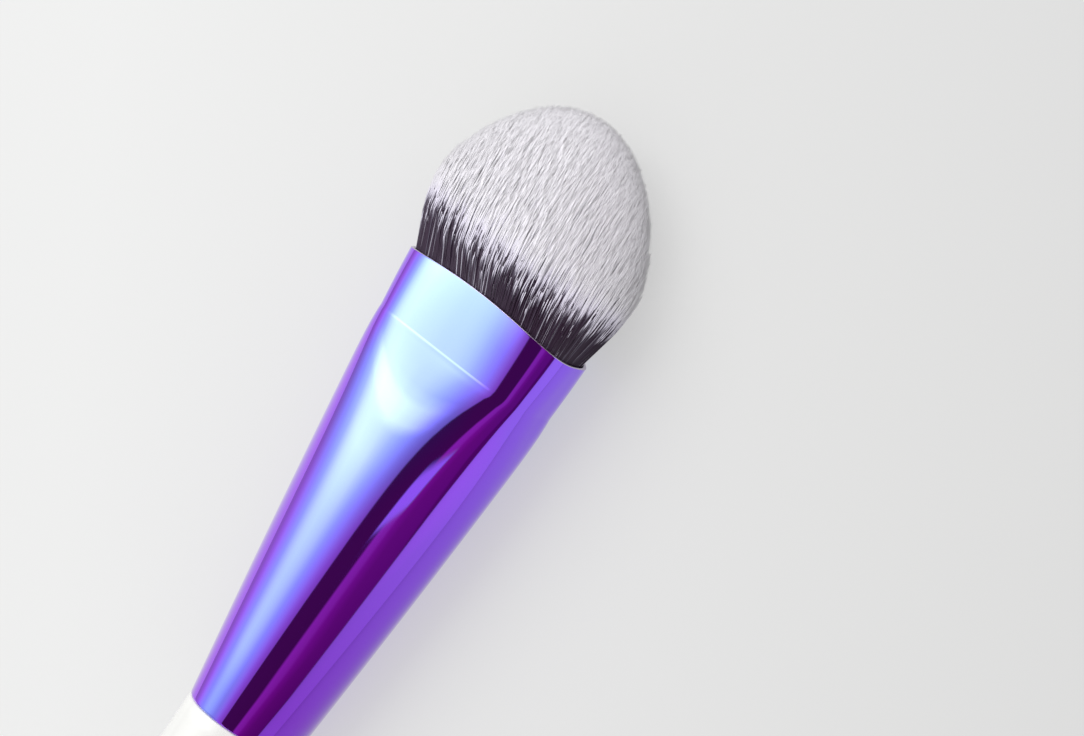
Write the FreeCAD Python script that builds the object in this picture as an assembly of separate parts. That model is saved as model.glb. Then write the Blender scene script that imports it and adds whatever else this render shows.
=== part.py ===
"""Foundation brush: turned handle, thin metal ferrule pressed from round to oval, and domed bristle head.

Units are millimetres. The brush lies on the ground plane with its wide side down and its long axis along X,
bristle tips towards +X. The origin is on the ground under the middle of the brush.
"""
import FreeCAD
import Part

import bisect
import math
import os
import random

# Ferrule: a flared tube, round at the handle, pressed to a squarish oval at the crease, wider again above it
ferrule_length = 51.8
ferrule_wall = 0.4
tube_radius = 6.3
flare_width = 24.2
flare_power = 1.27
squeeze = 0.47
mouth_thickness = 9.6
mouth_fullness = 3.0
rim_dip = 1.1
crease_depth = 7.6
crease_thickness = 9.6
crease_fullness = 3.4
swell_thickness = 13.2
settling_length = 4.4

# Handle: shoulder flush with the ferrule, a slight belly, a long taper and a rounded end
handle_length = 108.0
swell_length = 20.0
grip_length = 12.0
belly_radius = 6.85
tail_radius = 4.0
tail_rounding = 3.4
tenon_length = 11.0
tenon_chamfer = 0.8

# Bristle head: filaments packed in the mouth, spreading out and cut to a dome
bristle_length = 20.9
widest_height = 7.4
head_width = 26.4
head_thickness = 13.7
head_fullness = 2.2
spread_height = 5.5
dome_power = 0.74
root_depth = 9.8
tufts_across = 29
groove = 0.03
tip_depth = 0.9
tip_lag = 0.5
side_levels = 3

# Set adhesive that holds the roots
adhesive_length = 10.0

# Clearances between pieces
tenon_clearance = 0.05
filling_clearance = 0.05

# Sampling of the ovals
oval_points = 24
cone_sections = 9
section_crowding = 1.7
arc_steps = 720

# Places along the axis, from the end of the handle to the tip of the bristles
full_length = handle_length + ferrule_length + bristle_length
tail_x = -full_length / 2
shoulder_x = tail_x + handle_length
mouth_x = shoulder_x + ferrule_length
belly_x = shoulder_x - swell_length - grip_length / 2
widest_x = mouth_x + widest_height
axis_height = belly_radius


def ferrule_oval(depth, inset):
    """Half width, half thickness and fullness of the ferrule at a depth below its mouth, moved in by inset."""
    share = depth / ferrule_length
    half_width = tube_radius + (flare_width / 2 - tube_radius) * (1 - share**flare_power)
    past = depth - crease_depth
    if past < 0:
        run = depth / crease_depth
        half_thickness = (mouth_thickness + (crease_thickness - mouth_thickness) * run) / 2
        fullness = mouth_fullness + (crease_fullness - mouth_fullness) * run
    else:
        run = past / (ferrule_length - crease_depth)
        pressed = math.exp(-past / settling_length)
        half_thickness = (swell_thickness + (crease_thickness - swell_thickness) * pressed) / 2
        half_thickness += (tube_radius - swell_thickness / 2) * run**2
        fullness = 2 + (crease_fullness - 2) * pressed
    half_width -= squeeze * (fullness - 2)
    return half_width - inset, half_thickness - inset, fullness


def oval_point(oval, turn):
    """Across and up place on an oval at a turn; a fullness of 2 is an ellipse, and more is squarer."""
    half_width, half_thickness, fullness = oval
    across, up = math.cos(turn), math.sin(turn)
    reach = (abs(across) ** fullness + abs(up) ** fullness) ** (-1 / fullness)
    return half_width * across * reach, half_thickness * up * reach


def oval_wire(x, oval):
    """A smooth closed oval around the axis at x."""
    points = []
    for step in range(oval_points):
        across, up = oval_point(oval, 2 * math.pi * step / oval_points)
        points.append(FreeCAD.Vector(x, across, axis_height + up))
    curve = Part.BSplineCurve()
    curve.interpolate(Points=points, PeriodicFlag=True)
    return Part.Wire(curve.toShape())


def ferrule_loft(depths, inset, ruled):
    """A solid through the ferrule's ovals at the given depths below the mouth."""
    wires = [oval_wire(mouth_x - depth, ferrule_oval(depth, inset)) for depth in depths]
    return Part.makeLoft(wires, True, ruled)


def ferrule_body(inset):
    """The ferrule's full form without its hollow: a pressed cone and the band above the crease."""
    run = ferrule_length - crease_depth
    shares = [(step / (cone_sections - 1)) ** section_crowding for step in range(cone_sections)]
    depths = [crease_depth + run * share for share in shares]
    cone = ferrule_loft(depths, inset, False)
    band = ferrule_loft([0.0, crease_depth], inset, True)
    return cone.fuse(band)


def make_ferrule():
    """Thin tube, open at both ends, with a crease round it and a rim that dips at its two narrow sides."""
    tube = ferrule_body(0.0).cut(ferrule_body(ferrule_wall))
    rim_radius = (ferrule_oval(0.0, 0.0)[0] ** 2 + rim_dip**2) / (2 * rim_dip)
    rim_centre = FreeCAD.Vector(mouth_x - rim_radius, 0, 0)
    return tube.common(Part.makeCylinder(rim_radius, 2 * axis_height, rim_centre))


def handle_point(x, radius):
    """A point of the handle's profile, above the axis."""
    return FreeCAD.Vector(x, 0, axis_height + radius)


def tangent_arc(start, end):
    """Arc from start, where it runs along the axis, to end."""
    along, drop = end.x - start.x, start.z - end.z
    radius = (along**2 + drop**2) / (2 * drop)
    half_angle = math.atan2(drop, abs(along))
    middle_along = math.copysign(radius * math.sin(half_angle), along)
    middle = FreeCAD.Vector(start.x + middle_along, 0, start.z - radius * (1 - math.cos(half_angle)))
    return Part.Arc(start, middle, end).toShape()


def make_handle():
    """One turned piece: tenon, shoulder, swell, straight grip, taper and rounded end."""
    tenon_tip_x = shoulder_x + tenon_length
    tip_oval = ferrule_oval(ferrule_length - tenon_length, ferrule_wall + tenon_clearance)
    tenon_tip_radius = min(tip_oval[0], tip_oval[1])
    tenon_root_radius = tube_radius - ferrule_wall - tenon_clearance
    grip_front = handle_point(shoulder_x - swell_length, belly_radius)
    grip_back = handle_point(grip_front.x - grip_length, belly_radius)
    shoulder = handle_point(shoulder_x, tube_radius)
    tail = handle_point(tail_x, tail_radius)
    outline = [
        tangent_arc(grip_front, shoulder),
        Part.makeLine(grip_front, grip_back),
        tangent_arc(grip_back, tail),
    ]
    corners = [
        tail,
        handle_point(tail_x, 0),
        handle_point(tenon_tip_x, 0),
        handle_point(tenon_tip_x, tenon_tip_radius - tenon_chamfer),
        handle_point(tenon_tip_x - tenon_chamfer, tenon_tip_radius),
        handle_point(shoulder_x, tenon_root_radius),
        shoulder,
    ]
    outline += [Part.makeLine(a, b) for a, b in zip(corners, corners[1:])]
    profile = Part.Face(Part.Wire(Part.__sortEdges__(outline)))
    turned = profile.revolve(handle_point(0, 0), FreeCAD.Vector(1, 0, 0), 360)
    rim = [edge for edge in turned.Edges if is_tail_rim(edge)]
    return turned.makeFillet(tail_rounding, rim)


def is_tail_rim(edge):
    """True for the sharp circle at the end of the handle."""
    box = edge.BoundBox
    return box.XMax < tail_x + tail_radius / 4 and box.ZLength > tail_radius


def make_adhesive():
    """Set adhesive in the ferrule, against the ends of the filaments."""
    inset = ferrule_wall + filling_clearance
    depths = [root_depth + adhesive_length * step / 2 for step in range(3)]
    return ferrule_loft(depths, inset, False)


def girth_shares():
    """Share of the way round the mouth's oval, by length, at even steps of turn."""
    oval = ferrule_oval(0.0, 0.0)
    lengths, last = [0.0], oval_point(oval, 0.0)
    for step in range(1, arc_steps + 1):
        place = oval_point(oval, 2 * math.pi * step / arc_steps)
        lengths.append(lengths[-1] + math.dist(place, last))
        last = place
    return [length / lengths[-1] for length in lengths]


mouth_shares = girth_shares()


def turn_at(share):
    """The turn that lies at a share of the way round the mouth's oval."""
    share %= 1.0
    after = bisect.bisect_right(mouth_shares, share)
    before = after - 1
    part_step = (share - mouth_shares[before]) / (mouth_shares[after] - mouth_shares[before])
    return 2 * math.pi * (before + part_step) / arc_steps


def lattice_place(column, row):
    """Ring, from 0 at the middle to 1 at the rim, and turn of a place on the square lattice of tufts."""
    u = 2 * column / tufts_across - 1
    v = 2 * row / tufts_across - 1
    ring = max(abs(u), abs(v))
    if ring < 1e-9:
        return 0.0, 0.0
    if abs(u) >= abs(v):
        share = v / u / 8 + (0.5 if u < 0 else 0.0)
    else:
        share = 0.25 - u / v / 8 + (0.5 if v < 0 else 0.0)
    return ring, turn_at(share)


def bundle_oval(height):
    """Half width, half thickness and fullness of the bundle at a height above the mouth."""
    inset = ferrule_wall + filling_clearance
    if height <= 0:
        return ferrule_oval(-height, inset)
    half_width, half_thickness, fullness = ferrule_oval(0.0, inset)
    spread = (1 - math.exp(-height / spread_height)) / (1 - math.exp(-widest_height / spread_height))
    half_width += (head_width / 2 - half_width) * spread
    half_thickness += (head_thickness / 2 - half_thickness) * spread
    return half_width, half_thickness, fullness + (head_fullness - fullness) * spread


def dome_height(ring):
    """Height of the cut tips above the mouth, highest in the middle."""
    return widest_height + (bristle_length - widest_height) * max(0.0, 1 - ring**2) ** dome_power


def bristle_point(height, ring, turn):
    """A point of the bundle, following the filament that starts at this ring and turn."""
    across, up = oval_point(bundle_oval(height), turn)
    return FreeCAD.Vector(mouth_x + height, ring * across, axis_height + ring * up)


def rim_round():
    """Lattice places once round the rim, corner, middle of the edge, corner and so on."""
    last = 2 * tufts_across
    places = [(last, step) for step in range(last)]
    places += [(last - step, last) for step in range(last)]
    places += [(0, last - step) for step in range(last)]
    places += [(step, 0) for step in range(last)]
    return places


def make_bristles():
    """Filament bundle as one closed solid: grooved sides between the tufts and a dome of pointed tips."""
    chance = random.Random(11)
    rim = rim_round()
    rings, turns = [], []
    for column, row in rim:
        is_edge_middle = column % 2 or row % 2
        rings.append(1.0 if is_edge_middle else 1.0 - groove)
        turns.append(lattice_place(column / 2, row / 2)[1])

    heights = [-root_depth, -crease_depth, 0.0]
    heights += [(widest_height - tip_depth) * step / side_levels for step in range(1, side_levels)]
    levels = [[bristle_point(height, ring, turn) for ring, turn in zip(rings, turns)] for height in heights]
    levels.append([])
    for ring, turn in zip(rings, turns):
        height = widest_height if ring == 1.0 else widest_height - tip_depth
        levels[-1].append(bristle_point(height, ring, turn))
    rim_tops = dict(zip(rim, levels[-1]))

    triangles = []
    for lower, upper in zip(levels, levels[1:]):
        for near in range(len(rim)):
            far = (near + 1) % len(rim)
            triangles.append((lower[near], lower[far], upper[far]))
            triangles.append((lower[near], upper[far], upper[near]))

    def corner_point(column, row):
        if (2 * column, 2 * row) in rim_tops:
            return rim_tops[2 * column, 2 * row]
        ring, turn = lattice_place(column, row)
        return bristle_point(dome_height(ring) - tip_depth, ring, turn)

    middle = tufts_across // 2
    for column in range(tufts_across):
        for row in range(tufts_across):
            ring, turn = lattice_place(column + 0.5, row + 0.5)
            lag = 0.0 if column == row == middle else chance.uniform(0.0, tip_lag)
            tip = bristle_point(dome_height(ring) - lag, ring, turn)
            corners = [(column, row), (column + 1, row), (column + 1, row + 1), (column, row + 1)]
            for near, far in zip(corners, corners[1:] + corners[:1]):
                between = (near[0] + far[0], near[1] + far[1])
                path = [corner_point(*near), corner_point(*far)]
                if between in rim_tops:
                    path.insert(1, rim_tops[between])
                triangles += [(a, b, tip) for a, b in zip(path, path[1:])]

    faces = [Part.Face(Part.makePolygon([a, b, c, a])) for a, b, c in triangles]
    faces.append(Part.Face(Part.makePolygon(levels[0] + levels[0][:1])))
    shell = Part.makeShell(faces)
    shell.sewShape()
    solid = Part.Solid(shell)
    if solid.Volume < 0:
        solid.reverse()
    return solid


def lay_down(shape):
    """Leans the brush until both its belly and its bristle head touch the ground."""
    lean = math.atan2(head_thickness / 2 - belly_radius, widest_x - belly_x)
    shape.rotate(FreeCAD.Vector(belly_x, 0, belly_radius), FreeCAD.Vector(0, 1, 0), -math.degrees(lean))
    return shape


parts = {
    "handle": make_handle(),
    "ferrule": make_ferrule(),
    "root_adhesive": make_adhesive(),
    "bristles": make_bristles(),
}

os.makedirs("parts", exist_ok=True)
for name, shape in parts.items():
    shape = lay_down(shape)
    shape.exportStep(os.path.join("parts", name + ".step"))
    box = shape.BoundBox
    print(name, shape.isValid(), len(shape.Solids), len(shape.Faces), round(shape.Volume, 1),
          [round(v, 2) for v in (box.XMin, box.XMax, box.YMin, box.YMax, box.ZMin, box.ZMax)])
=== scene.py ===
"""Looks of the foundation brush: lacquered handle, pressed violet ferrule and the bundle of filaments.

Everything is in metres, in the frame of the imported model: the brush lies along X, bristle tips towards +X.
"""

import math
import random

import bmesh
import bpy
from mathutils import Matrix, Vector, kdtree


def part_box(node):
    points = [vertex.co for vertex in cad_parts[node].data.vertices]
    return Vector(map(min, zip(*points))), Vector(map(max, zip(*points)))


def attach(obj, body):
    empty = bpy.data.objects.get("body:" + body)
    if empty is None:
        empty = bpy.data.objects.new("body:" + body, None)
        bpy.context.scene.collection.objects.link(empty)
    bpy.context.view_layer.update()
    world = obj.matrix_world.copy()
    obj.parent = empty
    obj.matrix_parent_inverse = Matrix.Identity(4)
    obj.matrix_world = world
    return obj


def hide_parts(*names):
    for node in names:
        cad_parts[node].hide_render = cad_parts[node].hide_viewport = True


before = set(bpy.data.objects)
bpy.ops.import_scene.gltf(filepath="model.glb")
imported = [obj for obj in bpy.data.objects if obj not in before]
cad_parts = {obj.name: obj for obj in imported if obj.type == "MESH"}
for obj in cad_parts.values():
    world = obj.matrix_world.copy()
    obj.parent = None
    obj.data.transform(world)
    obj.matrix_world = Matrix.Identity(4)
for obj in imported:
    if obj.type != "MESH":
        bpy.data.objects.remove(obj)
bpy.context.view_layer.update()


# Handle
# One turned and lacquered piece with a short straight grip, white and glossy. Its tenon is glued into the
# ferrule and its shoulder stands flush with the ferrule's end.
handle_low, handle_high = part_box("handle")
ferrule_low, ferrule_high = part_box("ferrule")
axis_height = (ferrule_low.z + ferrule_high.z) / 2
shoulder_x = ferrule_low.x
tube_radius = 0.0063
grip_radius = (handle_high.y - handle_low.y) / 2
swell_length = 0.020
grip_length = 0.012
tail_radius = 0.0040
tail_rounding = 0.0034
tenon_radius = 0.0058
shoulder_rounding = 0.00025
swell_steps = 12
taper_steps = 20
rounding_steps = 10
handle_steps = 128
merge_distance = 1e-7
lacquer_white = (0.88, 0.88, 0.857, 1.0)
lacquer_cloud = 0.965


def arc_places(start, end, steps):
    """Places on the arc that leaves start along the axis and passes through end."""
    along, drop = end[0] - start[0], start[1] - end[1]
    radius = (along**2 + drop**2) / (2 * drop)
    whole = math.asin(abs(along) / radius)
    places = []
    for step in range(1, steps + 1):
        turn = whole * step / steps
        x = start[0] + math.copysign(radius * math.sin(turn), along)
        places.append((x, start[1] - radius * (1 - math.cos(turn))))
    return places


def rounded_tail(x, radius, rounding, steps):
    """Places round the end of the handle, from the taper to the flat of the end."""
    places = []
    for step in range(1, steps + 1):
        turn = math.pi / 2 * step / steps
        places.append((x + rounding * (1 - math.sin(turn)), radius - rounding * (1 - math.cos(turn))))
    return places


def handle_outline():
    """The handle's outline above its axis as (x, radius), from the tenon's end to the tail."""
    grip_front = (shoulder_x - swell_length, grip_radius)
    grip_back = (grip_front[0] - grip_length, grip_radius)
    swell = arc_places(grip_front, (shoulder_x, tube_radius), swell_steps)[::-1]
    taper = arc_places(grip_back, (handle_low.x + tail_rounding, tail_radius), taper_steps)
    places = [(handle_high.x, 0.0), (handle_high.x, tenon_radius - shoulder_rounding)]
    places += [(handle_high.x - shoulder_rounding, tenon_radius), (shoulder_x, tenon_radius)]
    places += [(shoulder_x, tube_radius - shoulder_rounding)]
    places += [(shoulder_x - shoulder_rounding, tube_radius)]
    places += swell[1:] + [grip_front, grip_back] + taper
    places += rounded_tail(handle_low.x, tail_radius, tail_rounding, rounding_steps)
    return places + [(handle_low.x, 0.0)]


def turned_piece(name, outline, steps):
    """Spins an outline round the brush's axis into a closed, smooth piece."""
    bm = bmesh.new()
    verts = [bm.verts.new((x, 0.0, axis_height + radius)) for x, radius in outline]
    edges = [bm.edges.new(pair) for pair in zip(verts, verts[1:])]
    bmesh.ops.spin(bm, geom=verts + edges, cent=(0, 0, axis_height), axis=(1, 0, 0), angle=2 * math.pi,
                   steps=steps, use_merge=True)
    bmesh.ops.remove_doubles(bm, verts=bm.verts, dist=merge_distance)
    bmesh.ops.recalc_face_normals(bm, faces=bm.faces)
    for face in bm.faces:
        face.smooth = True
    mesh = bpy.data.meshes.new(name)
    bm.to_mesh(mesh)
    bm.free()
    piece = bpy.data.objects.new(name, mesh)
    bpy.context.scene.collection.objects.link(piece)
    return piece


def lacquer():
    """Thick white gloss lacquer, very slightly uneven."""
    material = bpy.data.materials.new("lacquer")
    material.use_nodes = True
    nodes, links = material.node_tree.nodes, material.node_tree.links
    shader = nodes["Principled BSDF"]
    shader.inputs["Roughness"].default_value = 0.22
    shader.inputs["Coat Weight"].default_value = 0.6
    shader.inputs["Coat Roughness"].default_value = 0.06
    place = nodes.new("ShaderNodeTexCoord")
    cloud = nodes.new("ShaderNodeTexNoise")
    cloud.inputs["Scale"].default_value = 60.0
    tint = nodes.new("ShaderNodeMix")
    tint.data_type = "RGBA"
    tint.inputs["A"].default_value = lacquer_white
    tint.inputs["B"].default_value = tuple(lacquer_cloud * v for v in lacquer_white[:3]) + (1.0,)
    skin = nodes.new("ShaderNodeTexNoise")
    skin.inputs["Scale"].default_value = 350.0
    bump = nodes.new("ShaderNodeBump")
    bump.inputs["Strength"].default_value = 0.03
    bump.inputs["Distance"].default_value = 0.0002
    links.new(place.outputs["Object"], cloud.inputs["Vector"])
    links.new(place.outputs["Object"], skin.inputs["Vector"])
    links.new(cloud.outputs["Fac"], tint.inputs["Factor"])
    links.new(tint.outputs["Result"], shader.inputs["Base Color"])
    links.new(skin.outputs["Fac"], bump.inputs["Height"])
    links.new(bump.outputs["Normal"], shader.inputs["Normal"])
    return material


handle = turned_piece("handle_lacquered", handle_outline(), handle_steps)
handle.data.materials.append(lacquer())
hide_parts("handle")
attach(handle, "root")


# Ferrule
# A thin aluminium tube, round where it grips the handle and pressed to an oval at the mouth, with a crease
# where the pressing tool ended. Its coat is blue on the flats and violet on the rounded sides, partly its own
# colour and partly a painted highlight, and the cut lip is bare metal.
ferrule_length = ferrule_high.x - ferrule_low.x
ferrule_wall = 0.0004
mouth_x = ferrule_high.x
flare_half_width = 0.0121
squeeze = 0.00047
mouth_half_thickness = 0.0048
mouth_fullness = 3.0
rim_dip = 0.0011
crease_depth = 0.0076
crease_half_thickness = 0.0048
crease_fullness = 3.4
crease_softness = 0.0004
swell_half_thickness = 0.0066
settling_length = 0.0044
flare_power = 1.27
lip_rounding = 0.0001
ferrule_steps = 192
ring_gap = 0.0012
crease_rings = (-1, -0.35, 0.35, 1)
lip_rings = (0.0002, 0.0005)
end_rings = (0.0006, 0.00025)
inner_stride = 3
# The coat colours below follow how squarely the surface faces the flats and the place along the tube. They
# are partly the coat's own colour and partly painted light: the blue on the flats is a painted highlight, and
# the narrower blue and darker sides towards the handle paint that highlight dimming.
blue_highlight_way = (0.0, 0.105, 0.9945)
mouth_coat_x = mouth_x - 0.002
far_coat_x = ferrule_low.x + 0.004
mouth_coat_and_highlight = [(0.60, (0.273, 0.10, 0.98)), (0.80, (0.285, 0.085, 0.98)), (0.87, (0.31, 0.07, 0.98)),
              (0.92, (0.36, 0.05, 1.0)), (0.945, (0.36, 0.05, 1.0)), (0.955, (0.33, 0.07, 1.0)),
              (0.966, (0.28, 0.115, 1.0)), (0.974, (0.21, 0.145, 1.0)), (0.9816, (0.185, 0.18, 1.0)),
              (0.9877, (0.187, 0.25, 1.0)), (0.9926, (0.205, 0.31, 1.0)), (1.0, (0.22, 0.33, 1.0))]
far_coat_and_highlight = [(0.60, (0.214, 0.0135, 0.636)), (0.80, (0.32, 0.03, 0.85)), (0.92, (0.38, 0.045, 1.0)),
            (0.94, (0.36, 0.05, 1.0)), (0.955, (0.335, 0.05, 1.0)), (0.966, (0.30, 0.075, 1.0)),
            (0.976, (0.255, 0.12, 1.0)), (0.984, (0.22, 0.16, 1.0)), (0.990, (0.195, 0.185, 1.0)),
            (0.996, (0.21, 0.24, 1.0)), (1.0, (0.235, 0.31, 1.0))]
flat_by_depth = [(0.032, 1.0), (0.026, 0.85), (0.020, 0.60), (0.015, 0.52), (0.012, 0.55), (0.010, 0.75),
                 (0.0078, 1.0)]
bare_metal = (0.55, 0.50, 0.62, 1.0)


def ferrule_oval(depth, inset):
    """Half width, half thickness and fullness of the ferrule at a depth below its mouth, less an inset."""
    share = depth / ferrule_length
    half_width = tube_radius + (flare_half_width - tube_radius) * (1 - share**flare_power)
    past = depth - crease_depth
    if past < 0:
        run = depth / crease_depth
        half_thickness = mouth_half_thickness + (crease_half_thickness - mouth_half_thickness) * run
        fullness = mouth_fullness + (crease_fullness - mouth_fullness) * run
    else:
        run = past / (ferrule_length - crease_depth)
        pressed = math.exp(-past / settling_length)
        half_thickness = swell_half_thickness + (crease_half_thickness - swell_half_thickness) * pressed
        half_thickness += (tube_radius - swell_half_thickness) * run**2
        fullness = 2 + (crease_fullness - 2) * pressed
    half_width -= squeeze * (fullness - 2)
    return half_width - inset, half_thickness - inset, fullness


def oval_place(oval, turn):
    """Across and up place on an oval at a turn; a fullness of 2 is an ellipse, and more is squarer."""
    half_width, half_thickness, fullness = oval
    across, up = math.cos(turn), math.sin(turn)
    reach = (abs(across) ** fullness + abs(up) ** fullness) ** (-1 / fullness)
    return half_width * across * reach, half_thickness * up * reach


def first_ring(bm, x, oval, steps):
    """A circle of edges, pulled to the oval, that a tube starts from."""
    bmesh.ops.create_circle(bm, cap_ends=False, segments=steps, radius=1.0)
    bm.verts.ensure_lookup_table()
    shape_ring(bm.verts[:], x, oval)
    return bm.verts[:], bm.edges[:]


def shape_ring(verts, x, oval, dip=0.0, lean=0.0):
    """Moves a ring's vertices onto the oval at x; the ring dips at its two sides and may lean to the left."""
    for step, vert in enumerate(verts):
        across, up = oval_place(oval, 2 * math.pi * step / len(verts))
        vert.co = (x - dip * (across / oval[0]) ** 2, across + lean, axis_height + up)


def next_ring(bm, ring, x, oval, dip=0.0, lean=0.0):
    """Extrudes a ring of vertices and edges to the oval at x; gives the new ring in the same order."""
    verts, edges = ring
    made = bmesh.ops.extrude_edge_only(bm, edges=edges)["geom"]
    new_verts = [item for item in made if isinstance(item, bmesh.types.BMVert)]
    new_edges = [item for item in made if isinstance(item, bmesh.types.BMEdge)]
    fresh = set(new_verts)
    matched = []
    for vert in verts:
        partner = next(edge.other_vert(vert) for edge in vert.link_edges if edge.other_vert(vert) in fresh)
        matched.append(partner)
    rim = [edge for edge in new_edges if edge.verts[0] in fresh and edge.verts[1] in fresh]
    shape_ring(matched, x, oval, dip, lean)
    return matched, rim


def ferrule_depths():
    """Depths of the ferrule's rings from the mouth to the handle, closer at the crease and at both ends."""
    close = [crease_depth + crease_softness * step for step in crease_rings]
    close += list(lip_rings) + [ferrule_length - rise for rise in end_rings]
    count = round(ferrule_length / ring_gap)
    even = [ferrule_length * step / count for step in range(1, count)]
    clear = [depth for depth in even if abs(depth - crease_depth) > 2 * crease_softness]
    return sorted(close + clear)


def dip_at(depth):
    """How far a ring dips at its sides: all of it at the rim, none from the crease on."""
    return rim_dip * max(0.0, 1 - depth / crease_depth)


def pressed_tube():
    """The ferrule with both walls, rounded lips and the crease."""
    bm = bmesh.new()
    depths = ferrule_depths()
    end = ferrule_length
    ring = first_ring(bm, mouth_x - end + lip_rounding, ferrule_oval(end, 0.0), ferrule_steps)
    start = ring
    for depth in reversed(depths):
        ring = next_ring(bm, ring, mouth_x - depth, ferrule_oval(depth, 0.0), dip_at(depth))
    shell_faces = len(bm.faces)
    ring = next_ring(bm, ring, mouth_x - lip_rounding, ferrule_oval(lip_rounding, 0.0), rim_dip)
    ring = next_ring(bm, ring, mouth_x, ferrule_oval(0.0, lip_rounding), rim_dip)
    ring = next_ring(bm, ring, mouth_x, ferrule_oval(0.0, ferrule_wall - lip_rounding), rim_dip)
    ring = next_ring(bm, ring, mouth_x - lip_rounding, ferrule_oval(lip_rounding, ferrule_wall), rim_dip)
    lip_faces = len(bm.faces)
    for depth in depths[::inner_stride]:
        ring = next_ring(bm, ring, mouth_x - depth, ferrule_oval(depth, ferrule_wall), dip_at(depth))
    ring = next_ring(bm, ring, mouth_x - end, ferrule_oval(end, ferrule_wall - lip_rounding))
    ring = next_ring(bm, ring, mouth_x - end, ferrule_oval(end, lip_rounding))
    bmesh.ops.bridge_loops(bm, edges=ring[1] + start[1])
    bm.faces.ensure_lookup_table()
    for index, face in enumerate(bm.faces):
        face.smooth = True
        face.material_index = 1 if shell_faces + ferrule_steps <= index < lip_faces else 0
    bmesh.ops.recalc_face_normals(bm, faces=bm.faces)
    mesh = bpy.data.meshes.new("ferrule_pressed")
    bm.to_mesh(mesh)
    bm.free()
    piece = bpy.data.objects.new("ferrule_pressed", mesh)
    bpy.context.scene.collection.objects.link(piece)
    return piece


def coat_ramp(nodes, colours):
    """Ramp of the coat's colour, with its painted highlight, by how far a side is turned to the flats."""
    ramp = nodes.new("ShaderNodeValToRGB")
    stops = ramp.color_ramp.elements
    while len(stops) < len(colours):
        stops.new(1.0)
    for stop, (position, colour) in zip(stops, colours):
        stop.position = position
        stop.color = colour + (1.0,)
    return ramp


def violet_coat_and_highlight():
    """Coloured coat over polished metal with a painted highlight: blue on the flats, violet on the sides and
    near the handle.
    """
    material = bpy.data.materials.new("violet_coat_and_highlight")
    material.use_nodes = True
    nodes, links = material.node_tree.nodes, material.node_tree.links
    shader = nodes["Principled BSDF"]
    shader.inputs["Metallic"].default_value = 1.0
    shader.inputs["Coat Weight"].default_value = 0.9
    shader.inputs["Coat Roughness"].default_value = 0.03
    place = nodes.new("ShaderNodeTexCoord")
    around = nodes.new("ShaderNodeVectorMath")
    around.operation = "MULTIPLY"
    around.inputs[1].default_value = (0.0, 1.0, 1.0)
    level = nodes.new("ShaderNodeVectorMath")
    level.operation = "NORMALIZE"
    side = nodes.new("ShaderNodeVectorMath")
    side.operation = "DOT_PRODUCT"
    side.inputs[1].default_value = blue_highlight_way
    facing = nodes.new("ShaderNodeMath")
    facing.operation = "ABSOLUTE"
    near_mouth = coat_ramp(nodes, mouth_coat_and_highlight)
    near_handle = coat_ramp(nodes, far_coat_and_highlight)
    reach = mouth_coat_x - far_coat_x
    flatness = coat_ramp(nodes, [((mouth_x - depth - far_coat_x) / reach, (share, share, share))
                                 for depth, share in flat_by_depth])
    turned = nodes.new("ShaderNodeMath")
    turned.operation = "SUBTRACT"
    turned.inputs[0].default_value = 1.0
    flattened = nodes.new("ShaderNodeMath")
    flattened.operation = "MULTIPLY"
    kept = nodes.new("ShaderNodeMath")
    kept.operation = "SUBTRACT"
    kept.inputs[0].default_value = 1.0
    split = nodes.new("ShaderNodeSeparateXYZ")
    along = nodes.new("ShaderNodeMapRange")
    along.inputs["From Min"].default_value = far_coat_x
    along.inputs["From Max"].default_value = mouth_coat_x
    colour = nodes.new("ShaderNodeMix")
    colour.data_type = "RGBA"
    stretch = nodes.new("ShaderNodeMapping")
    stretch.inputs["Scale"].default_value = (12.0, 900.0, 900.0)
    lines = nodes.new("ShaderNodeTexNoise")
    lines.inputs["Scale"].default_value = 1.0
    lines.inputs["Detail"].default_value = 3.0
    rough = nodes.new("ShaderNodeMapRange")
    rough.inputs["To Min"].default_value = 0.03
    rough.inputs["To Max"].default_value = 0.06
    bump = nodes.new("ShaderNodeBump")
    bump.inputs["Strength"].default_value = 0.02
    bump.inputs["Distance"].default_value = 0.00005
    links.new(place.outputs["Normal"], around.inputs[0])
    links.new(around.outputs["Vector"], level.inputs[0])
    links.new(level.outputs["Vector"], side.inputs[0])
    links.new(side.outputs["Value"], facing.inputs[0])
    links.new(place.outputs["Object"], split.inputs["Vector"])
    links.new(split.outputs["X"], along.inputs["Value"])
    links.new(along.outputs["Result"], flatness.inputs["Fac"])
    links.new(facing.outputs["Value"], turned.inputs[1])
    links.new(turned.outputs["Value"], flattened.inputs[0])
    links.new(flatness.outputs["Color"], flattened.inputs[1])
    links.new(flattened.outputs["Value"], kept.inputs[1])
    links.new(kept.outputs["Value"], near_mouth.inputs["Fac"])
    links.new(kept.outputs["Value"], near_handle.inputs["Fac"])
    links.new(along.outputs["Result"], colour.inputs["Factor"])
    links.new(near_handle.outputs["Color"], colour.inputs["A"])
    links.new(near_mouth.outputs["Color"], colour.inputs["B"])
    links.new(colour.outputs["Result"], shader.inputs["Base Color"])
    links.new(place.outputs["Object"], stretch.inputs["Vector"])
    links.new(stretch.outputs["Vector"], lines.inputs["Vector"])
    links.new(lines.outputs["Fac"], rough.inputs["Value"])
    links.new(rough.outputs["Result"], shader.inputs["Roughness"])
    links.new(lines.outputs["Fac"], bump.inputs["Height"])
    links.new(bump.outputs["Normal"], shader.inputs["Normal"])
    return material


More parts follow.
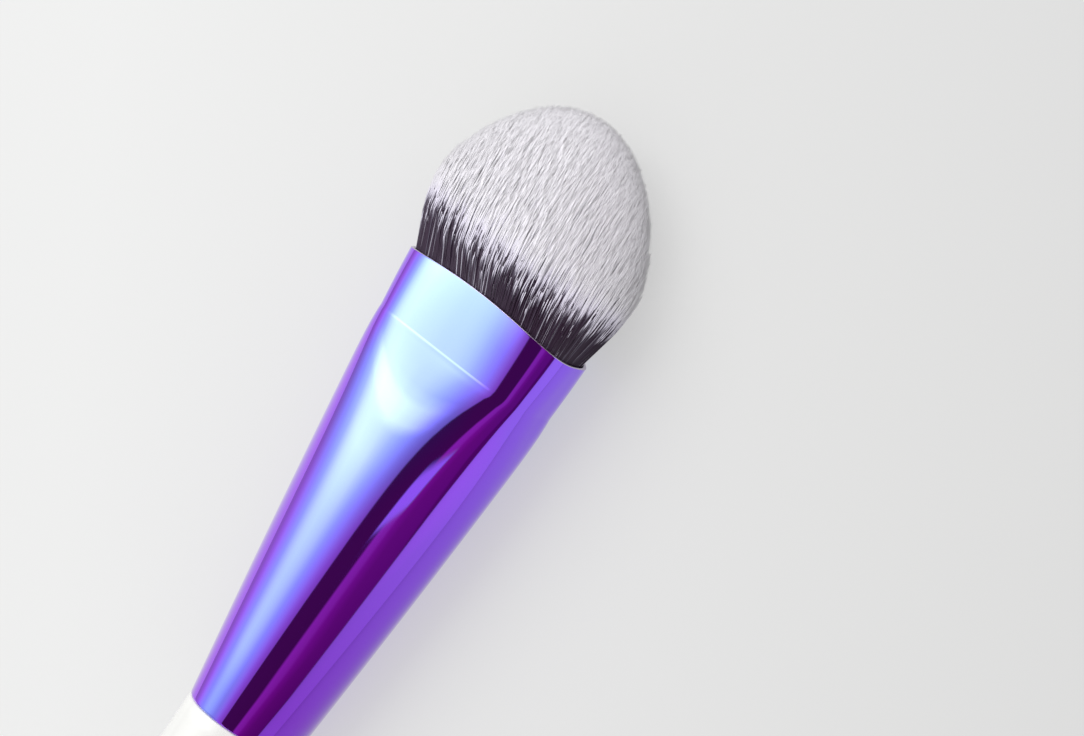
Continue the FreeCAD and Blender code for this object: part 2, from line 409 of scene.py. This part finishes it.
def bare_lip():
    """Bright cut edge of the tube, with fine marks of the cutter."""
    material = bpy.data.materials.new("bare_lip")
    material.use_nodes = True
    nodes, links = material.node_tree.nodes, material.node_tree.links
    shader = nodes["Principled BSDF"]
    shader.inputs["Metallic"].default_value = 1.0
    shader.inputs["Base Color"].default_value = bare_metal
    place = nodes.new("ShaderNodeTexCoord")
    marks = nodes.new("ShaderNodeTexNoise")
    marks.inputs["Scale"].default_value = 2500.0
    rough = nodes.new("ShaderNodeMapRange")
    rough.inputs["To Min"].default_value = 0.18
    rough.inputs["To Max"].default_value = 0.40
    links.new(place.outputs["Object"], marks.inputs["Vector"])
    links.new(marks.outputs["Fac"], rough.inputs["Value"])
    links.new(rough.outputs["Result"], shader.inputs["Roughness"])
    return material


ferrule = pressed_tube()
ferrule.data.materials.append(violet_coat_and_highlight())
ferrule.data.materials.append(bare_lip())
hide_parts("ferrule")
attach(ferrule, "root")


# Root adhesive
# Set resin inside the ferrule, poured round the ends of the filaments before the handle went in. It can't be
# seen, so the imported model's own piece keeps its shape and only gets a finish.
resin_colour = (0.62, 0.52, 0.30, 1.0)
resin_cloud = 0.7


def cloudy_resin():
    """Yellowish, slightly cloudy resin."""
    material = bpy.data.materials.new("cloudy_resin")
    material.use_nodes = True
    nodes, links = material.node_tree.nodes, material.node_tree.links
    shader = nodes["Principled BSDF"]
    shader.inputs["Roughness"].default_value = 0.35
    place = nodes.new("ShaderNodeTexCoord")
    cloud = nodes.new("ShaderNodeTexNoise")
    cloud.inputs["Scale"].default_value = 300.0
    tint = nodes.new("ShaderNodeMix")
    tint.data_type = "RGBA"
    tint.inputs["A"].default_value = resin_colour
    tint.inputs["B"].default_value = tuple(resin_cloud * v for v in resin_colour[:3]) + (1.0,)
    links.new(place.outputs["Object"], cloud.inputs["Vector"])
    links.new(cloud.outputs["Fac"], tint.inputs["Factor"])
    links.new(tint.outputs["Result"], shader.inputs["Base Color"])
    return material


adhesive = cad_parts["root_adhesive"]
adhesive.data.materials.clear()
adhesive.data.materials.append(cloudy_resin())


# Bristles
# Many thousand thin tapered filaments, dyed dark at the root and left nearly white at the tip. They are
# packed tight in the mouth, spread above it and are set to a dome. Here a dark middle fills what they hide,
# coloured as the dyed roots and, higher up, as painted shade.
bristles_low, bristles_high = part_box("bristles")
bristle_length = bristles_high.x - mouth_x
root_depth = mouth_x - bristles_low.x
head_half_width = (bristles_high.y - bristles_low.y) / 2
head_half_thickness = (bristles_high.z - bristles_low.z) / 2
widest_height = 0.0074
head_lean = 0.0008
lean_power = 0.6
spread_height = 0.0055
head_fullness = 2.2
dome_power = 0.74
filling_clearance = 0.00005
filament_count = 44000
filament_pieces = 5
filament_radius = 0.000054
fade_radius = 0.95
rim_radius = 0.9
taper_radius = 0.85
taper_length = 0.0012
bend_power = 1.6
clump_count = 5000
clump_pull = 0.40
clump_lean = 0.00009
clump_rise = 0.00012
inner_rise = 0.4
clump_tone = 0.45
own_tone = 0.7
loose_lean = 0.00010
turn_spread = 0.008
shortfall = 0.0004
tip_overshoot = 0.0002
white_length = 0.0037
white_rise = 0.56
white_spread = 0.0016
fade_length = 0.0016
dyed_least = 0.0010
fade_least = 0.0004
fade_white = 0.62
taper_white = 0.9
dye_line_side = 0.0010
pale_share = 0.17
pale_low = 0.18
pale_high = 0.48
normal_share = 0.88
normal_centre = 0.004
hidden_length = 0.0068
skin_ring = 0.78
skin_start = 0.0006
middle_ring = 0.86
middle_drop = 0.0052
middle_clearance = 0.00005
middle_bend = 1.3
middle_rings = 12
middle_steps = 96
shade_columns = 24
column_half = 0.008
map_edge = 0.01
root_dye = (0.030, 0.014, 0.036, 1.0)
dye_edge = (0.10, 0.085, 0.125, 1.0)
# The grey between the dyed root and the white tip is partly the dye's own fade and partly painted shade among
# the packed filaments.
filament_grey_and_shade = (0.83, 0.79, 0.93, 1.0)
filament_white = (0.975, 0.952, 1.0, 1.0)
golden_turn = math.pi * (3 - math.sqrt(5))


def bundle_oval(height):
    """Half width, half thickness and fullness of the bundle at a height above the mouth."""
    inset = ferrule_wall + filling_clearance
    if height <= 0:
        return ferrule_oval(-height, inset)
    half_width, half_thickness, fullness = ferrule_oval(0.0, inset)
    spread = (1 - math.exp(-height / spread_height)) / (1 - math.exp(-widest_height / spread_height))
    half_width += (head_half_width - half_width) * spread
    half_thickness += (head_half_thickness - half_thickness) * spread
    return half_width, half_thickness, fullness + (head_fullness - fullness) * spread


def dome_height(ring):
    """Height of the tips above the mouth, highest in the middle."""
    return widest_height + (bristle_length - widest_height) * max(0.0, 1 - ring**2) ** dome_power


def packed_place(index, count):
    """Ring and turn of one of count places spread evenly over the bundle."""
    return math.sqrt((index + 0.5) / count), index * golden_turn


def lean_at(height):
    """How far the head leans to its left side at a height above the mouth."""
    return head_lean * (max(0.0, height) / bristle_length) ** lean_power


def bundle_place(height, ring, turn):
    """Place of a filament at a height above the mouth."""
    across, up = oval_place(bundle_oval(height), turn)
    return Vector((mouth_x + height, ring * across + lean_at(height), axis_height + ring * up))


def clump_map(chance):
    """Tufts that the filaments gather into: a search tree of their places, and each one's lean and rise."""
    tree = kdtree.KDTree(clump_count)
    habits = []
    for index in range(clump_count):
        ring, turn = packed_place(index, clump_count)
        across, up = ring * math.cos(turn), ring * math.sin(turn)
        tree.insert((across, up, 0.0), index)
        lean = Vector((0.0, chance.gauss(0, clump_lean), chance.gauss(0, clump_lean)))
        habits.append((Vector((across, up)), lean, chance.gauss(0, clump_rise), chance.gauss(0, 1)))
    tree.balance()
    return tree, habits


def filament_path(index, chance, tree, habits):
    """Points of one filament as (place, radius, whiteness), from its hidden start to its tip."""
    ring, turn = packed_place(index, filament_count)
    turn += chance.gauss(0, turn_spread)
    flat = Vector((ring * math.cos(turn), ring * math.sin(turn)))
    clump_place, clump_tilt, rise, tone = habits[tree.find((flat.x, flat.y, 0.0))[1]]
    length = dome_height(ring) + rise * (inner_rise + (1 - inner_rise) * ring)
    length -= abs(chance.gauss(0, shortfall / 2))
    length = min(length, bristle_length + tip_overshoot)
    drawn = flat.lerp(clump_place, clump_pull)
    drawn_ring, drawn_turn = drawn.length, math.atan2(drawn.y, drawn.x)
    tip = bundle_place(length, drawn_ring, drawn_turn) + clump_tilt
    tip += Vector((0.0, chance.gauss(0, loose_lean), chance.gauss(0, loose_lean)))
    rim_height = -rim_dip * math.cos(turn) ** 2
    start_height = rim_height - skin_start if ring > skin_ring else length - hidden_length
    dye_line = widest_height - white_length + white_rise * (length - widest_height)
    dye_line += white_spread * (clump_tone * tone + own_tone * chance.gauss(0, 1))
    dye_line += dye_line_side * max(0.0, flat.x) ** 2
    root_white = chance.uniform(pale_low, pale_high) if chance.random() < pale_share else 0.0
    low = max(start_height + dyed_least, dye_line - fade_length / 2)
    high = min(max(low + fade_least, dye_line + fade_length / 2), length - 2 * taper_length)
    points = [(start_height, 0.0, root_white), (low, 1.0, root_white), (high, fade_radius, fade_white),
              (length - taper_length, taper_radius, taper_white), (length, 0.0, 1.0)]
    if ring > skin_ring:
        points.insert(1, (rim_height, rim_radius, root_white))
    path = []
    for height, radius, white in points:
        share = max(0.0, height / length) ** bend_power
        place = bundle_place(height, ring, turn).lerp(tip, share)
        place.x = mouth_x + height
        path.append((place, radius, white))
    return path


def filament_section():
    """Three-cornered section of a filament, as a small closed curve."""
    curve = bpy.data.curves.new("filament_section", "CURVE")
    curve.dimensions = "3D"
    spline = curve.splines.new("POLY")
    spline.points.add(2)
    for step, point in enumerate(spline.points):
        turn = -2 * math.pi * step / 3
        point.co = (filament_radius * math.cos(turn), filament_radius * math.sin(turn), 0.0, 1.0)
    spline.use_cyclic_u = True
    section = bpy.data.objects.new("filament_section", curve)
    bpy.context.scene.collection.objects.link(section)
    return section


def filament_piece(name, paths, shades, section):
    """One mesh of many filaments. Its map holds a filament's shade across and its whiteness up."""
    curve = bpy.data.curves.new(name, "CURVE")
    curve.dimensions = "3D"
    curve.bevel_mode = "OBJECT"
    curve.bevel_object = section
    for path in paths:
        spline = curve.splines.new("POLY")
        spline.points.add(len(path) - 1)
        spline.points.foreach_set("co", [value for place, _, _ in path for value in (*place, 1.0)])
        spline.points.foreach_set("radius", [radius for _, radius, _ in path])
    carrier = bpy.data.objects.new(name + "_curve", curve)
    bpy.context.scene.collection.objects.link(carrier)
    depsgraph = bpy.context.evaluated_depsgraph_get()
    mesh = bpy.data.meshes.new_from_object(carrier.evaluated_get(depsgraph))
    bpy.data.objects.remove(carrier)
    bpy.data.curves.remove(curve)
    mesh.name = name
    across, up = [], []
    for path, shade in zip(paths, shades):
        for _, _, white in path:
            across += [shade - column_half, shade, shade + column_half]
            up += [map_edge + (1 - 2 * map_edge) * white] * 3
    while mesh.uv_layers:
        mesh.uv_layers.remove(mesh.uv_layers[0])
    layer = mesh.uv_layers.new(name="OFBake")
    corners = [0] * len(mesh.loops)
    mesh.loops.foreach_get("vertex_index", corners)
    layer.uv.foreach_set("vector", [value for corner in corners for value in (across[corner], up[corner])])
    mesh.polygons.foreach_set("use_smooth", [True] * len(mesh.polygons))
    bm = bmesh.new()
    bm.from_mesh(mesh)
    bmesh.ops.remove_doubles(bm, verts=bm.verts, dist=merge_distance)
    bm.normal_update()
    normals = [vert.normal.lerp(head_normal(vert.co), normal_share).normalized() for vert in bm.verts]
    bm.to_mesh(mesh)
    bm.free()
    mesh.normals_split_custom_set_from_vertices(normals)
    piece = bpy.data.objects.new(name, mesh)
    bpy.context.scene.collection.objects.link(piece)
    return piece


def head_normal(place):
    """Outward way of the whole head at a place, which evens out the light on its filaments."""
    along = max(0.0, place.x - mouth_x - normal_centre) / (bristle_length - normal_centre) ** 2
    across = place.y / head_half_width**2
    up = (place.z - axis_height) / head_half_thickness**2
    return Vector((along, across, up)).normalized()


def dyed_filament():
    """Soft synthetic filament, dark at the root and lavender white at the tip, each a little different. The
    grey below the white tip is partly the dye's fade and partly painted shade among the packed filaments.
    """
    material = bpy.data.materials.new("dyed_filament")
    material.use_nodes = True
    nodes, links = material.node_tree.nodes, material.node_tree.links
    shader = nodes["Principled BSDF"]
    shader.inputs["Roughness"].default_value = 0.5
    shader.inputs["Specular IOR Level"].default_value = 0.35
    shader.inputs["Sheen Roughness"].default_value = 0.4
    strip = nodes.new("ShaderNodeUVMap")
    strip.uv_map = "OFBake"
    split = nodes.new("ShaderNodeSeparateXYZ")
    ramp = nodes.new("ShaderNodeValToRGB")
    stops = ramp.color_ramp.elements
    stops.new(0.3)
    stops.new(0.6)
    for stop, (position, colour) in zip(stops, ((0.05, root_dye), (0.32, dye_edge), (0.62, filament_grey_and_shade),
                                                (0.95, filament_white))):
        stop.position = position
        stop.color = colour
    shade = nodes.new("ShaderNodeMapRange")
    shade.inputs["To Min"].default_value = 0.88
    shade.inputs["To Max"].default_value = 1.04
    tone = nodes.new("ShaderNodeVectorMath")
    tone.operation = "SCALE"
    bloom = nodes.new("ShaderNodeMapRange")
    bloom.inputs["From Min"].default_value = 0.6
    bloom.inputs["To Max"].default_value = 0.5
    links.new(strip.outputs["UV"], split.inputs["Vector"])
    links.new(split.outputs["Y"], ramp.inputs["Fac"])
    links.new(split.outputs["X"], shade.inputs["Value"])
    links.new(split.outputs["Y"], bloom.inputs["Value"])
    links.new(bloom.outputs["Result"], shader.inputs["Sheen Weight"])
    links.new(ramp.outputs["Color"], tone.inputs[0])
    links.new(shade.outputs["Result"], tone.inputs["Scale"])
    links.new(tone.outputs["Vector"], shader.inputs["Base Color"])
    return material


def bundle_middle():
    """Closed dark body under the filaments, from the resin to a few millimetres under the tips: the dyed
    roots low down, and painted shade above them.
    """
    bm = bmesh.new()
    ring = first_ring(bm, mouth_x - root_depth, bundle_oval(-root_depth), middle_steps)
    bmesh.ops.contextual_create(bm, geom=ring[1])
    for height in (-crease_depth, 0.0):
        half_width, half_thickness, fullness = bundle_oval(height)
        oval = (half_width - middle_clearance, half_thickness - middle_clearance, fullness)
        ring = next_ring(bm, ring, mouth_x + height, oval)
    for step in range(1, middle_rings):
        share = step / middle_rings
        reach = math.cos(math.pi / 2 * share**middle_bend)
        height = (bristle_length - middle_drop) * share
        half_width, half_thickness, fullness = bundle_oval(height)
        size = middle_ring * reach
        oval = (half_width * size, half_thickness * size, fullness)
        ring = next_ring(bm, ring, mouth_x + height, oval, lean=lean_at(height))
    bmesh.ops.contextual_create(bm, geom=ring[1])
    bmesh.ops.recalc_face_normals(bm, faces=bm.faces)
    for face in bm.faces:
        face.smooth = True
    mesh = bpy.data.meshes.new("bristles_middle")
    bm.to_mesh(mesh)
    bm.free()
    piece = bpy.data.objects.new("bristles_middle", mesh)
    bpy.context.scene.collection.objects.link(piece)
    return piece


def roots_and_painted_shade():
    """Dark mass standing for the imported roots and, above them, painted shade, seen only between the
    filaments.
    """
    material = bpy.data.materials.new("roots_and_painted_shade")
    material.use_nodes = True
    nodes, links = material.node_tree.nodes, material.node_tree.links
    shader = nodes["Principled BSDF"]
    shader.inputs["Roughness"].default_value = 0.7
    place = nodes.new("ShaderNodeTexCoord")
    stretch = nodes.new("ShaderNodeMapping")
    stretch.inputs["Scale"].default_value = (150.0, 4000.0, 4000.0)
    strands = nodes.new("ShaderNodeTexNoise")
    strands.inputs["Scale"].default_value = 1.0
    tint = nodes.new("ShaderNodeMix")
    tint.data_type = "RGBA"
    tint.inputs["A"].default_value = root_dye
    tint.inputs["B"].default_value = dye_edge
    links.new(place.outputs["Object"], stretch.inputs["Vector"])
    links.new(stretch.outputs["Vector"], strands.inputs["Vector"])
    links.new(strands.outputs["Fac"], tint.inputs["Factor"])
    links.new(tint.outputs["Result"], shader.inputs["Base Color"])
    return material


chance = random.Random(5)
clump_tree, clump_habits = clump_map(chance)
all_paths = [filament_path(index, chance, clump_tree, clump_habits) for index in range(filament_count)]
all_shades = [(chance.randrange(shade_columns) + 0.5) / shade_columns for _ in range(filament_count)]
filament_material = dyed_filament()
section = filament_section()
for number in range(filament_pieces):
    piece = filament_piece(f"filaments_{number + 1}", all_paths[number::filament_pieces],
                           all_shades[number::filament_pieces], section)
    piece.data.materials.append(filament_material)
    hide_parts("bristles")
    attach(piece, "root")
bpy.data.objects.remove(section)
middle = bundle_middle()
middle.data.materials.append(roots_and_painted_shade())
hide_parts("bristles")
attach(middle, "root")


# Floor and light
# A plain pale floor under a broad soft panel. The polished metal mirrors a half round screen above the brush,
# which glows where the panel hangs. It is black beside the panel, dim round the camera and pale again low
# down on the other side.
# The floor goes from its pale colour to a darker one towards its right: painted shade, the light falling off
# across it.
floor_pale = (0.840, 0.843, 0.838, 1.0)
floor_painted_shade = (0.70, 0.70, 0.698, 1.0)
floor_left = -0.02
floor_right = 0.11
floor_glow = 0.62
axis_turn = math.radians(31.62)
room_light = 0.74
panel_way = Vector((0.50, 0.40, 0.77)).normalized()
panel_distance = 0.70
panel_size = 0.70
panel_power = 3.0
aim_drop = 0.0008
floor_size = 4.0
screen_radius = 0.25
screen_length = 1.2
screen_steps = 64
panel_by_angle = [(-90, 0.50), (-84, 0.56), (-77, 0.76), (-72, 0.94), (-67, 1.0), (-60, 0.92), (-52, 0.85),
                  (-46, 0.80), (-40, 0.72), (-35, 0.70), (-24, 0.70), (-20, 0.76), (-16, 0.76), (-12, 0.66),
                  (-8.5, 0.57), (-4.8, 0.50), (-3.7, 0.0), (50.9, 0.0), (52.2, 0.78), (56, 0.85), (62, 0.88),
                  (90, 0.89)]
dark_by_angle = [(14, (0.104, 0.023, 0.070)), (16, (0.56, 0.14, 0.40)), (21, (0.52, 0.12, 0.36)),
                 (23.5, (0.40, 0.04, 0.26)), (30, (0.30, 0.03, 0.19)), (42, (0.29, 0.026, 0.185)),
                 (44, (0.193, 0.015, 0.122))]
core_by_angle = [(-88, 0.0), (-68, 0.06), (-60, 0.28), (-56, 0.55), (-52.5, 0.78), (-49, 0.92), (-43, 1.0),
                 (-37, 0.93), (-32, 0.83), (-28, 0.60), (-24, 0.40), (-20, 0.25), (-16, 0.15), (-12, 0.08),
                 (-8, 0.03), (-4.6, 0.0)]
core_peak = 3.0
core_low_x = -0.075
core_high_x = 0.135
core_by_length = [(-0.075, 0.0), (-0.060, 0.06), (-0.047, 0.13), (-0.040, 0.25), (-0.027, 0.32),
                  (-0.015, 0.42), (-0.005, 0.56), (0.005, 0.68), (0.018, 0.70), (0.025, 0.76), (0.031, 0.95),
                  (0.045, 1.0), (0.055, 0.95), (0.065, 0.75), (0.130, 0.70)]
patch_by_angle = [(10.5, 0.0), (12, 1.0), (22, 1.0), (24, 0.0)]
patch_by_length = [(-0.0245, (0.0, 0.0, 0.0)), (-0.022, (0.68, 1.0, 0.90)), (-0.012, (0.68, 1.0, 0.90)),
                   (-0.004, (0.0, 0.0, 0.0))]
pool_by_angle = [(-50, 0.0), (-36, 0.3), (-29, 0.6), (-23, 1.0), (-18, 0.9), (-13, 0.4), (-8, 0.0)]
pool_by_length = [(0.022, 0.0), (0.032, 0.75), (0.055, 0.75), (0.085, 0.0)]
dark_narrowing = ((-0.026, 1.0), (-0.060, 0.67))
panel_narrowing = ((-0.036, 1.0), (-0.080, 0.80))


def flat_sheet(name, width):
    """A flat square on the ground."""
    bm = bmesh.new()
    bmesh.ops.create_grid(bm, x_segments=1, y_segments=1, size=width / 2)
    mesh = bpy.data.meshes.new(name)
    bm.to_mesh(mesh)
    bm.free()
    sheet = bpy.data.objects.new(name, mesh)
    bpy.context.scene.collection.objects.link(sheet)
    return sheet


def half_round_screen():
    """Half of a tube over the brush, open at the ends."""
    bm = bmesh.new()
    ends = [bm.verts.new((x, screen_radius, axis_height)) for x in (-screen_length / 2, screen_length / 2)]
    edge = bm.edges.new(ends)
    bmesh.ops.spin(bm, geom=ends + [edge], cent=(0, 0, axis_height), axis=(1, 0, 0), angle=math.pi,
                   steps=screen_steps)
    mesh = bpy.data.meshes.new("mirrored_screen")
    bm.to_mesh(mesh)
    bm.free()
    screen = bpy.data.objects.new("mirrored_screen", mesh)
    bpy.context.scene.collection.objects.link(screen)
    screen.visible_camera = False
    screen.visible_diffuse = False
    screen.visible_transmission = False
    screen.visible_volume_scatter = False
    screen.visible_shadow = False
    return screen


def level_ramp(nodes, levels, low, high):
    """Ramp of levels or colours between two ends."""
    ramp = nodes.new("ShaderNodeValToRGB")
    stops = ramp.color_ramp.elements
    while len(stops) < len(levels):
        stops.new(1.0)
    for stop, (place, level) in zip(stops, levels):
        stop.position = (place - low) / (high - low)
        colour = level if isinstance(level, tuple) else (level, level, level)
        stop.color = colour + (1.0,)
    return ramp


def product_of(nodes, links, first, second, gain):
    """Two ramps multiplied, times a gain."""
    both = nodes.new("ShaderNodeVectorMath")
    both.operation = "MULTIPLY"
    scaled = nodes.new("ShaderNodeVectorMath")
    scaled.operation = "SCALE"
    scaled.inputs["Scale"].default_value = gain
    links.new(first.outputs["Color"], both.inputs[0])
    links.new(second.outputs["Color"], both.inputs[1])
    links.new(both.outputs["Vector"], scaled.inputs[0])
    return scaled


def narrowed_angle(nodes, links, angle, split, narrowing):
    """Share of the way round the screen from its left edge, drawn in on the right side towards the handle."""
    narrow = nodes.new("ShaderNodeMapRange")
    for end, (place, size) in zip(("Min", "Max"), narrowing):
        narrow.inputs["From " + end].default_value = place
        narrow.inputs["To " + end].default_value = size
    right = nodes.new("ShaderNodeMath")
    right.operation = "MINIMUM"
    right.inputs[1].default_value = 0.0
    left = nodes.new("ShaderNodeMath")
    left.operation = "MAXIMUM"
    left.inputs[1].default_value = 0.0
    whole = nodes.new("ShaderNodeMath")
    whole.operation = "MULTIPLY_ADD"
    share = nodes.new("ShaderNodeMapRange")
    share.inputs["From Min"].default_value = math.pi / 2
    share.inputs["From Max"].default_value = -math.pi / 2
    links.new(split.outputs["X"], narrow.inputs["Value"])
    links.new(angle.outputs["Value"], right.inputs[0])
    links.new(angle.outputs["Value"], left.inputs[0])
    links.new(right.outputs["Value"], whole.inputs[0])
    links.new(narrow.outputs["Result"], whole.inputs[1])
    links.new(left.outputs["Value"], whole.inputs[2])
    links.new(whole.outputs["Value"], share.inputs["Value"])
    return share


def screen_glow():
    """Glow of the screen by the angle round the brush, and for its brightest parts by the place along it."""
    material = bpy.data.materials.new("screen_glow")
    material.use_nodes = True
    nodes, links = material.node_tree.nodes, material.node_tree.links
    nodes.remove(nodes["Principled BSDF"])
    light = nodes.new("ShaderNodeEmission")
    place = nodes.new("ShaderNodeTexCoord")
    split = nodes.new("ShaderNodeSeparateXYZ")
    lift = nodes.new("ShaderNodeMath")
    lift.operation = "SUBTRACT"
    lift.inputs[1].default_value = axis_height
    angle = nodes.new("ShaderNodeMath")
    angle.operation = "ARCTAN2"
    length = nodes.new("ShaderNodeMapRange")
    length.inputs["From Min"].default_value = core_low_x
    length.inputs["From Max"].default_value = core_high_x
    links.new(place.outputs["Object"], split.inputs["Vector"])
    links.new(split.outputs["Z"], lift.inputs[0])
    links.new(split.outputs["Y"], angle.inputs[0])
    links.new(lift.outputs["Value"], angle.inputs[1])
    links.new(split.outputs["X"], length.inputs["Value"])
    panel_share = narrowed_angle(nodes, links, angle, split, panel_narrowing)
    dark_share = narrowed_angle(nodes, links, angle, split, dark_narrowing)
    panel = level_ramp(nodes, panel_by_angle, -90, 90)
    dark = level_ramp(nodes, dark_by_angle, -90, 90)
    core = level_ramp(nodes, core_by_angle, -90, 90)
    patch = level_ramp(nodes, patch_by_angle, -90, 90)
    pool = level_ramp(nodes, pool_by_angle, -90, 90)
    core_along = level_ramp(nodes, core_by_length, core_low_x, core_high_x)
    patch_along = level_ramp(nodes, patch_by_length, core_low_x, core_high_x)
    pool_along = level_ramp(nodes, pool_by_length, core_low_x, core_high_x)
    for ramp in (panel, core, pool):
        links.new(panel_share.outputs["Result"], ramp.inputs["Fac"])
    for ramp in (dark, patch):
        links.new(dark_share.outputs["Result"], ramp.inputs["Fac"])
    for ramp in (core_along, patch_along, pool_along):
        links.new(length.outputs["Result"], ramp.inputs["Fac"])
    core_light = product_of(nodes, links, core, core_along, core_peak)
    patch_light = product_of(nodes, links, patch, patch_along, 1.0)
    pool_light = product_of(nodes, links, pool, pool_along, 1.0)
    glow = panel.outputs["Color"]
    for way, part in (("MAXIMUM", dark.outputs["Color"]), ("ADD", core_light.outputs["Vector"]),
                      ("MAXIMUM", patch_light.outputs["Vector"]), ("ADD", pool_light.outputs["Vector"])):
        total = nodes.new("ShaderNodeVectorMath")
        total.operation = way
        links.new(glow, total.inputs[0])
        links.new(part, total.inputs[1])
        glow = total.outputs["Vector"]
    links.new(glow, light.inputs["Color"])
    links.new(light.outputs["Emission"], nodes["Material Output"].inputs["Surface"])
    return material


def floor_paint():
    """Matt pale floor with painted shade that darkens it a little towards its right, that glows softly so
    that its shadows stay pale.
    """
    material = bpy.data.materials.new("floor_paint")
    material.use_nodes = True
    nodes, links = material.node_tree.nodes, material.node_tree.links
    shader = nodes["Principled BSDF"]
    shader.inputs["Roughness"].default_value = 0.9
    shader.inputs["Specular IOR Level"].default_value = 0.1
    place = nodes.new("ShaderNodeTexCoord")
    across = nodes.new("ShaderNodeVectorMath")
    across.operation = "DOT_PRODUCT"
    across.inputs[1].default_value = (math.sin(axis_turn), -math.cos(axis_turn), 0.0)
    share = nodes.new("ShaderNodeMapRange")
    share.inputs["From Min"].default_value = floor_left
    share.inputs["From Max"].default_value = floor_right
    colour = nodes.new("ShaderNodeMix")
    colour.data_type = "RGBA"
    colour.inputs["A"].default_value = floor_pale
    colour.inputs["B"].default_value = floor_painted_shade
    glow = nodes.new("ShaderNodeEmission")
    path = nodes.new("ShaderNodeLightPath")
    either = nodes.new("ShaderNodeMath")
    either.operation = "MAXIMUM"
    seen = nodes.new("ShaderNodeMath")
    seen.operation = "MULTIPLY"
    seen.inputs[1].default_value = floor_glow
    mix = nodes.new("ShaderNodeMixShader")
    links.new(place.outputs["Object"], across.inputs[0])
    links.new(across.outputs["Value"], share.inputs["Value"])
    links.new(share.outputs["Result"], colour.inputs["Factor"])
    links.new(colour.outputs["Result"], shader.inputs["Base Color"])
    links.new(colour.outputs["Result"], glow.inputs["Color"])
    links.new(path.outputs["Is Camera Ray"], either.inputs[0])
    links.new(path.outputs["Is Glossy Ray"], either.inputs[1])
    links.new(either.outputs["Value"], seen.inputs[0])
    links.new(seen.outputs["Value"], mix.inputs["Fac"])
    links.new(shader.outputs["BSDF"], mix.inputs[1])
    links.new(glow.outputs["Emission"], mix.inputs[2])
    links.new(mix.outputs["Shader"], nodes["Material Output"].inputs["Surface"])
    return material


target = Vector((mouth_x - aim_drop, 0.0, axis_height))
floor = flat_sheet("floor", floor_size)
floor.data.materials.append(floor_paint())
screen = half_round_screen()
screen.data.materials.append(screen_glow())

lamp_data = bpy.data.lights.new("panel_lamp", "AREA")
lamp_data.shape = "SQUARE"
lamp_data.size = panel_size
lamp_data.energy = panel_power
lamp = bpy.data.objects.new("panel_lamp", lamp_data)
side_way = Vector((1, 0, 0)) - panel_way * panel_way.x
side_way.normalize()
lamp.matrix_world = Matrix.Translation(target + panel_way * panel_distance) @ Matrix(
    (side_way, panel_way.cross(side_way), panel_way)).transposed().to_4x4()
lamp.visible_glossy = False
bpy.context.scene.collection.objects.link(lamp)

world = bpy.data.worlds.new("room")
world.use_nodes = True
background = world.node_tree.nodes["Background"]
background.inputs["Color"].default_value = (1.0, 1.0, 1.0, 1.0)
background.inputs["Strength"].default_value = room_light
bpy.context.scene.world = world


# Camera
# It looks down on the brush from the bristle end and from its right side, so that the brush points up and to
# the right in the picture. Sizes in the picture are in pixels of the 1084 by 736 frame.
picture_width = 1084
picture_height = 736
mouth_column = 499.7
mouth_row = 304.8
pixels_per_metre = 9890.0
tilt = math.radians(10.6)
roll = math.radians(30.1)
camera_distance = 0.70

towards = Vector((math.sin(tilt), -math.sin(roll) * math.cos(tilt), math.cos(roll) * math.cos(tilt)))
brush_up = (Vector((1, 0, 0)) - towards * towards.x).normalized()
brush_right = brush_up.cross(towards)
up = brush_up * math.cos(axis_turn) - brush_right * math.sin(axis_turn)
right = brush_right * math.cos(axis_turn) + brush_up * math.sin(axis_turn)
middle_point = target + right * ((picture_width / 2 - mouth_column) / pixels_per_metre)
middle_point -= up * ((picture_height / 2 - mouth_row) / pixels_per_metre)
camera_data = bpy.data.cameras.new("camera")
camera_data.sensor_width = 36.0
camera_data.lens = camera_data.sensor_width * camera_distance * pixels_per_metre / picture_width
camera = bpy.data.objects.new("camera", camera_data)
camera.matrix_world = Matrix.Translation(middle_point + towards * camera_distance) @ Matrix(
    (right, up, towards)).transposed().to_4x4()
bpy.context.scene.collection.objects.link(camera)
bpy.context.scene.camera = camera
bpy.context.scene.view_settings.view_transform = "Standard"
